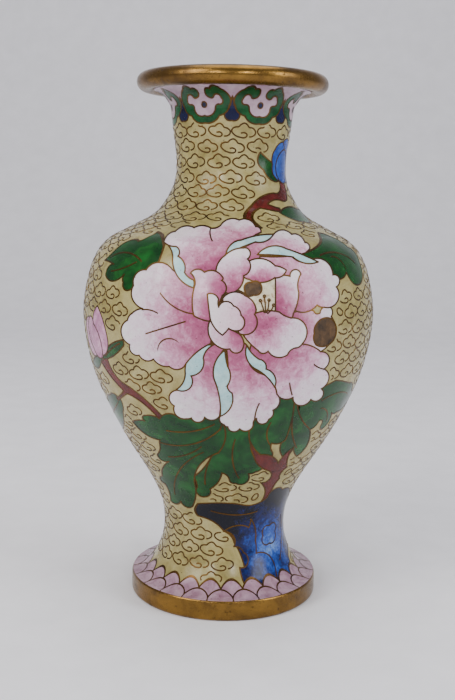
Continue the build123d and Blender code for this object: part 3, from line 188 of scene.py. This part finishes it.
HEART = (8.5 * MM, -41.5 * MM, 88.0 * MM)
brass = metal("aged_brass", rgb(146, 110, 52), rgb(74, 52, 24), (0.17, 0.36), 0.6, seed=1)
# The wire's two colours are set well darker than the brass: partly the real oxidised brown of the wire, partly
# painted shade standing in for the dark surroundings that the bare metal reflects.
wire_metal = metal("cloison_wire", rgb(104, 74, 34), rgb(48, 32, 16), (0.26, 0.45), 0.3, 0.9, seed=2)
copper = metal("spun_copper", rgb(170, 96, 66), rgb(92, 52, 36), (0.3, 0.5), seed=3)
braze = metal("braze", rgb(190, 160, 100), rgb(110, 84, 50), seed=4)
counter = enamel("counter_enamel", ((0.3, rgb(50, 120, 135)), (0.7, rgb(85, 160, 165))), 120.0, seed=5)
ground = enamel(
    "ground_enamel",
    ((0.25, rgb(124, 112, 62)), (0.5, rgb(158, 146, 94)), (0.75, rgb(178, 168, 120))),
    160.0, (0.16, 0.32), 0.35, seed=6,
)
PETAL_STOPS = (
    (0.02, rgb(126, 48, 82)), (0.28, rgb(166, 88, 122)), (0.48, rgb(200, 146, 172)), (0.66, rgb(220, 200, 214)),
    (0.88, rgb(224, 220, 222)),
)
HEART_STOPS = (
    (0.05, rgb(132, 50, 86)), (0.36, rgb(174, 96, 132)), (0.66, rgb(210, 168, 190)), (0.9, rgb(226, 214, 222)),
)
CORE_STOPS = ((0.05, rgb(206, 150, 176)), (0.4, rgb(222, 196, 208)), (0.8, rgb(228, 220, 224)))
crescent = enamel("crescent_enamel", ((0.3, rgb(142, 186, 194)), (0.7, rgb(184, 214, 214))), 300.0, seed=9)
stamen = enamel("stamen_enamel", ((0.3, rgb(150, 108, 70)), (0.5, rgb(214, 204, 176)), (0.8, rgb(224, 218, 196))),
                700.0, seed=10)
patch = enamel("patch_resin", ((0.3, rgb(42, 28, 12)), (0.7, rgb(96, 68, 36))), 500.0, (0.35, 0.55), 0.5, seed=11)
leaves = enamel(
    "leaf_enamel",
    ((0.25, rgb(3, 34, 14)), (0.5, rgb(8, 62, 20)), (0.78, rgb(26, 96, 34))), 200.0, (0.14, 0.28), 0.35, seed=12,
)
stems = enamel("stem_enamel", ((0.3, rgb(60, 14, 12)), (0.7, rgb(104, 34, 28))), 300.0, seed=13)
bud = enamel("bud_enamel", ((0.3, rgb(150, 84, 126)), (0.7, rgb(214, 164, 192))), 240.0, seed=14)
blue = enamel("blue_enamel", ((0.3, rgb(20, 44, 124)), (0.6, rgb(44, 88, 176)), (0.85, rgb(122, 158, 214))), 260.0,
              seed=15)
rock = enamel(
    "rock_enamel",
    ((0.06, rgb(120, 158, 212)), (0.26, rgb(36, 78, 168)), (0.42, rgb(16, 28, 84)), (0.58, rgb(6, 8, 22))),
    240.0, (0.14, 0.28), 0.15, (14.0 * MM, -13.0 * MM, 17.0 * MM), (0.0, 0.026), 16,
)
collar = enamel("collar_enamel", ((0.3, rgb(160, 128, 148)), (0.7, rgb(194, 172, 184))), 200.0, seed=17)
ruyi = enamel("ruyi_enamel", ((0.3, rgb(4, 46, 22)), (0.7, rgb(20, 86, 42))), 220.0, seed=18)
drops = enamel("drop_enamel", ((0.3, rgb(8, 10, 34)), (0.7, rgb(20, 28, 72))), 240.0, seed=19)
scales = enamel("scale_enamel", ((0.3, rgb(134, 96, 116)), (0.7, rgb(186, 154, 170))), 260.0, seed=20)

BY_SLOT = {
    "brass": brass, "cloison_wire": wire_metal, "copper": copper, "braze": braze, "counter_enamel": counter,
    "ground_enamel": ground, "crescent_enamel": crescent,
    "stamen_enamel": stamen, "patch_resin": patch, "leaf_enamel": leaves, "stem_enamel": stems,
    "bud_enamel": bud, "blue_enamel": blue, "rock_enamel": rock, "collar_enamel": collar,
    "ruyi_enamel": ruyi, "drop_enamel": drops, "scale_enamel": scales,
}


def petal_material(name, stops, seed):
    """Pink at the petal's end near the heart of the blossom, running out to white at its far edge."""
    lengths = [(v.co - Vector(HEART)).length for v in nodes[name].data.vertices]
    return enamel(name, stops, 260.0, (0.15, 0.28), 0.2, HEART, (min(lengths), max(lengths)), seed)


for number, entry in enumerate(frame["record"]["subparts"]):
    name, slot = entry["node"], entry["material_slot"]
    mesh = nodes[name].data
    mesh.materials.clear()
    if name == "back_blossoms":
        mesh.materials.append(enamel(name, PETAL_STOPS, 120.0, seed=number))
    elif slot in ("petal_enamel", "heart_enamel"):
        stops = CORE_STOPS if name == "heart_petal" else HEART_STOPS if slot == "heart_enamel" else PETAL_STOPS
        mesh.materials.append(petal_material(name, stops, number))
    else:
        mesh.materials.append(BY_SLOT[slot])


# -------------------------------------------------------- clouds in the ground
def tree_of(names):
    """Search tree over the meshes of these CAD nodes."""
    verts, faces = [], []
    for name in names:
        mesh = nodes[name].data
        first = len(verts)
        verts += [v.co.copy() for v in mesh.vertices]
        faces += [[first + i for i in p.vertices] for p in mesh.polygons]
    return BVHTree.FromPolygons(verts, faces)


INNER = {
    "rim_ring", "foot_ring", "base_plate", "base_enamel", "foot_core", "lower_core", "shoulder_core",
    "neck_core", "brazed_seams", "inner_lining",
}
ground_tree = tree_of(["ground"])
motif_tree = tree_of([name for name in nodes if name not in INNER and name != "ground"])


# Rays start this far out from the axis, clear of the belly.
RAY = 0.06
PROFILE_LOW, PROFILE_HIGH, PROFILE_STEP = 6.0 * MM, 150.5 * MM, 0.5 * MM
PROFILE_TURNS = 24


def on_surface(tree, turn, z):
    """Point and normal where a level ray from outside meets the tree's meshes first, or None."""
    out = Vector((math.sin(turn), -math.cos(turn), 0))
    origin = out * RAY + Vector((0, 0, z))
    place, normal, _, _ = tree.ray_cast(origin, -out, RAY)
    if place is None or place.dot(out) < 0:
        return None
    return place, normal


def profile_table():
    """Radius and length along the outline at each height, from the widest hit round the body."""
    rows = []
    length = 0.0
    z = PROFILE_LOW
    while z < PROFILE_HIGH:
        best = 0.0
        for k in range(PROFILE_TURNS):
            turn = math.tau * k / PROFILE_TURNS
            out = Vector((math.sin(turn), -math.cos(turn), 0))
            for tree in (ground_tree, motif_tree):
                hit = tree.ray_cast(out * RAY + Vector((0, 0, z)), -out, RAY)[0]
                if hit is not None and hit.dot(out) > best:
                    best = hit.dot(out)
        if rows:
            length += math.hypot(PROFILE_STEP, best - rows[-1][1])
        rows.append((z, best, length))
        z += PROFILE_STEP
    return rows


profile = profile_table()


def at_length(length):
    """Height and radius at a length along the outline."""
    for (z0, r0, s0), (z1, r1, s1) in zip(profile, profile[1:]):
        if s1 >= length:
            t = max(0.0, (length - s0) / max(s1 - s0, 1e-9))
            return z0 + (z1 - z0) * t, r0 + (r1 - r0) * t
    return None


class WireNet:
    """Collects raised wires laid along the surface into one mesh."""

    def __init__(self):
        self.verts = []
        self.faces = []

    def lay(self, run, width, height, closed=False):
        section = ((-0.5, -0.25), (-0.5, 0.55), (-0.3, 1.0), (0.3, 1.0), (0.5, 0.55), (0.5, -0.25))
        count = len(run)
        first = len(self.verts)
        for k, (place, normal) in enumerate(run):
            ahead = run[(k + 1) % count][0] if closed or k + 1 < count else place
            back = run[k - 1][0] if closed or k else place
            along = (ahead - back).normalized()
            side = normal.cross(along).normalized()
            for across, up in section:
                self.verts.append(place + side * (across * width) + normal * (up * height))
        size = len(section)
        for k in range(count if closed else count - 1):
            a, b = first + k * size, first + ((k + 1) % count) * size
            for j in range(size - 1):
                self.faces.append((a + j, a + j + 1, b + j + 1, b + j))
        if not closed:
            self.faces.append(tuple(first + j for j in range(size)))
            self.faces.append(tuple(first + (count - 1) * size + j for j in reversed(range(size))))

    def build(self, name):
        mesh = bpy.data.meshes.new(name)
        mesh.from_pydata(self.verts, [], self.faces)
        mesh.polygons.foreach_set("use_smooth", [True] * len(mesh.polygons))
        mesh.materials.append(wire_metal)
        made = bpy.data.objects.new(name, mesh)
        bpy.context.scene.collection.objects.link(made)
        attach(made, "root")
        return made


def smooth(points, steps=5, closed=False):
    """Catmull-Rom curve through plane points."""
    count = len(points)
    curve = []
    for k in range(count if closed else count - 1):
        p = [points[(k + d) % count] if closed else points[min(max(k + d, 0), count - 1)] for d in (-1, 0, 1, 2)]
        for s in range(steps):
            t = s / steps
            weights = (
                (-t + 2 * t * t - t ** 3) / 2, (2 - 5 * t * t + 3 * t ** 3) / 2,
                (t + 4 * t * t - 3 * t ** 3) / 2, (-t * t + t ** 3) / 2,
            )
            curve.append(tuple(sum(w * q[axis] for w, q in zip(weights, p)) for axis in (0, 1)))
    if not closed:
        curve.append(points[-1])
    return curve


# One cloud, in millimetres: the hook inside, the base line, then the left, top and right lobes.
CLOUD = smooth((
    (-0.75, -0.5), (0.1, -0.3), (0.8, -0.6), (0.85, -1.2), (0.2, -1.6), (-0.9, -1.55), (-2.2, -1.15),
    (-3.15, -0.25), (-2.95, 0.6), (-2.2, 1.0), (-1.45, 1.1), (-0.85, 1.75), (0.0, 2.1), (0.75, 1.75),
    (1.35, 1.15), (2.3, 1.0), (3.1, 0.35), (3.1, -0.5), (2.4, -1.1), (1.55, -1.3),
))
LOOP = smooth(((0.0, -1.0), (-1.25, -0.8), (-1.45, 0.25), (-0.45, 1.0), (0.85, 0.85), (1.5, 0.0), (1.05, -0.85)),
              5, closed=True)
CLOUD_WIRE = (0.42 * MM, 0.09 * MM)
COLUMN_PITCH = 7.1 * MM
ROW_PITCH = 4.3 * MM
MOTIF_GAP = 0.42 * MM
# A cloud is laid whole, or in its unbroken runs, by the share of its points that lie on open ground.
# Where neither fits, a small loop fills the gap at the first of these places, in millimetres.
WHOLE_SHARE = 0.97
BROKEN_SHARE = 0.55
SHORTEST_RUN = 9
LOOP_SIZE = 0.85
LOOP_SHIFTS = ((-1.9, 0.0), (1.9, 0.2), (0.0, 0.9), (0.0, -0.9))
FIRST_ROW = 3.2 * MM
LAST_ROW_GAP = 2.0 * MM


def place_on(shape, centre_length, turn, size, tilt):
    """Surface points of a flat shape at a length up the outline and a turn, None where there is no ground."""
    placed = []
    c, s = math.cos(tilt), math.sin(tilt)
    for x, y in shape:
        x, y = (x * c - y * s) * size, (x * s + y * c) * size
        at = at_length(centre_length + y * MM)
        if at is None:
            placed.append(None)
            continue
        z, radius = at
        hit = on_surface(ground_tree, turn + x * MM / radius, z)
        if hit is not None and motif_tree.find_nearest(hit[0], MOTIF_GAP)[0] is not None:
            hit = None
        placed.append(hit)
    return placed


def runs_of(placed):
    """Unbroken runs of points."""
    runs, run = [], []
    for hit in placed + [None]:
        if hit is not None:
            run.append(hit)
        elif run:
            runs.append(run)
            run = []
    return runs


rng = random.Random(20)
clouds = WireNet()
length = FIRST_ROW
row = 0
while length < profile[-1][2] - LAST_ROW_GAP:
    z, radius = at_length(length)
    count = max(6, round(math.tau * radius / COLUMN_PITCH))
    shift = 0.5 * (row % 2) + rng.uniform(-0.06, 0.06)
    for k in range(count):
        turn = math.tau * (k + shift) / count + rng.uniform(-0.12, 0.12) * MM * 2 / radius
        size = rng.uniform(0.94, 1.08)
        middle = length + rng.uniform(-0.25, 0.25) * MM
        placed = place_on(CLOUD, middle, turn, size, rng.uniform(-0.12, 0.12))
        open_share = sum(hit is not None for hit in placed) / len(placed)
        if open_share > WHOLE_SHARE:
            clouds.lay([hit for hit in placed if hit is not None], *CLOUD_WIRE)
            continue
        if open_share > BROKEN_SHARE:
            for run in runs_of(placed):
                if len(run) > SHORTEST_RUN:
                    clouds.lay(run, *CLOUD_WIRE)
            continue
        for shift_x, shift_y in LOOP_SHIFTS:
            ring = place_on(LOOP, middle + shift_y * MM, turn + shift_x * MM / radius, LOOP_SIZE, rng.uniform(0, 6.2))
            if all(hit is not None for hit in ring):
                clouds.lay(ring, *CLOUD_WIRE, closed=True)
                break
    length += ROW_PITCH
    row += 1
clouds.build("cloud_wires")

# Stamens: gold wires with a bead-like loop at the end, in millimetres across and up from the vase's axis.
STAMENS = (
    ((9.4, 90.6), (9.0, 92.2), (8.4, 93.8)), ((9.7, 90.6), (9.7, 92.4), (9.5, 94.9)),
    ((10.0, 90.6), (10.5, 92.2), (10.7, 93.9)), ((10.2, 90.4), (11.3, 91.4), (11.9, 92.6)),
)
STAMEN_WIRE = (0.36 * MM, 0.12 * MM)
ANTHER = 0.32
stamens = WireNet()
petal_tree = tree_of([name for name in nodes if name.startswith(("petal_", "heart_", "stamen_"))])


def on_petals(points):
    """Surface points of a plane outline seen from the front."""
    reach = at_length(profile[-1][2] * 0.55)[1]
    return [on_surface(petal_tree, math.asin(x * MM / reach), z * MM) for x, z in points]


for stalk in STAMENS:
    run = [hit for hit in on_petals(smooth(stalk)) if hit is not None]
    stamens.lay(run, *STAMEN_WIRE)
    x, z = stalk[-1]
    ring = [(x + ANTHER * math.cos(math.tau * k / 12), z + ANTHER * math.sin(math.tau * k / 12)) for k in range(12)]
    stamens.lay([hit for hit in on_petals(ring) if hit is not None], *STAMEN_WIRE, closed=True)
stamens.build("stamen_wires")

# --------------------------------------------------------------------- studio
scene = bpy.context.scene
world = bpy.data.worlds.new("studio")
scene.world = world
world.use_nodes = True
world.node_tree.nodes["Background"].inputs[0].default_value = (0.80, 0.80, 0.84, 1.0)
world.node_tree.nodes["Background"].inputs[1].default_value = 0.40

floor_mesh = bpy.data.meshes.new("sweep")
steps = [(-1.4, 0.0), (0.55, 0.0)]
for a in range(10, 91, 10):
    steps.append((0.55 + 0.35 * math.sin(math.radians(a)), 0.35 - 0.35 * math.cos(math.radians(a))))
steps += [(0.9, 2.2)]
sweep_verts = [(x, y, z) for y, z in steps for x in (-2.2, 2.2)]
sweep_faces = [(2 * k, 2 * k + 1, 2 * k + 3, 2 * k + 2) for k in range(len(steps) - 1)]
floor_mesh.from_pydata(sweep_verts, [], sweep_faces)
floor_mesh.polygons.foreach_set("use_smooth", [True] * len(floor_mesh.polygons))
floor = bpy.data.objects.new("sweep", floor_mesh)
scene.collection.objects.link(floor)
paper = Nodes("sweep_paper")
grain = paper.noise(60.0, 4.0, 0.6)
paper_colour = paper.ramp(grain, ((0.3, rgb(232, 231, 236)), (0.7, rgb(239, 238, 243))))
paper.join(paper_colour, paper.shader.inputs["Base Color"])
paper.shader.inputs["Roughness"].default_value = 0.85
floor_mesh.materials.append(paper.material)


def soft_light(name, place, aim, size, power, colour=(1.0, 1.0, 1.0)):
    """Square soft box aimed at a point."""
    data = bpy.data.lights.new(name, "AREA")
    data.shape = "RECTANGLE"
    data.size, data.size_y = size
    data.energy = power
    data.color = colour
    lamp = bpy.data.objects.new(name, data)
    lamp.location = place
    lamp.rotation_euler = (Vector(aim) - Vector(place)).to_track_quat("-Z", "Y").to_euler()
    scene.collection.objects.link(lamp)
    return lamp


soft_light("key_left", (-0.55, -0.45, 0.55), (0, 0, 0.09), (0.35, 0.5), 4.6, (1.0, 0.98, 0.95))
soft_light("fill_right", (0.62, -0.30, 0.35), (0, 0, 0.08), (0.3, 0.5), 2.8, (0.96, 0.98, 1.0))
soft_light("window_left", (-0.28, -0.75, 0.42), (0, 0, 0.12), (0.08, 0.16), 1.3)
soft_light("window_right", (0.24, -0.78, 0.42), (0, 0, 0.12), (0.08, 0.16), 1.1)
soft_light("top", (0.0, 0.05, 0.9), (0, 0, 0.08), (0.7, 0.7), 4.0)

# --------------------------------------------------------------------- camera
camera_data = bpy.data.cameras.new("camera")
camera = bpy.data.objects.new("camera", camera_data)
scene.collection.objects.link(camera)
scene.camera = camera
camera_data.sensor_width = 36.0
camera_data.lens = 51.92
camera_data.clip_start = 0.01
camera_data.clip_end = 20.0
camera.location = (0.0, -0.30152, 0.12107)
PITCH, ROLL = 0.154, 0.0198
look = Matrix.Rotation(math.pi / 2 - PITCH, 4, "X") @ Matrix.Rotation(ROLL, 4, "Z")
camera.rotation_euler = look.to_euler()
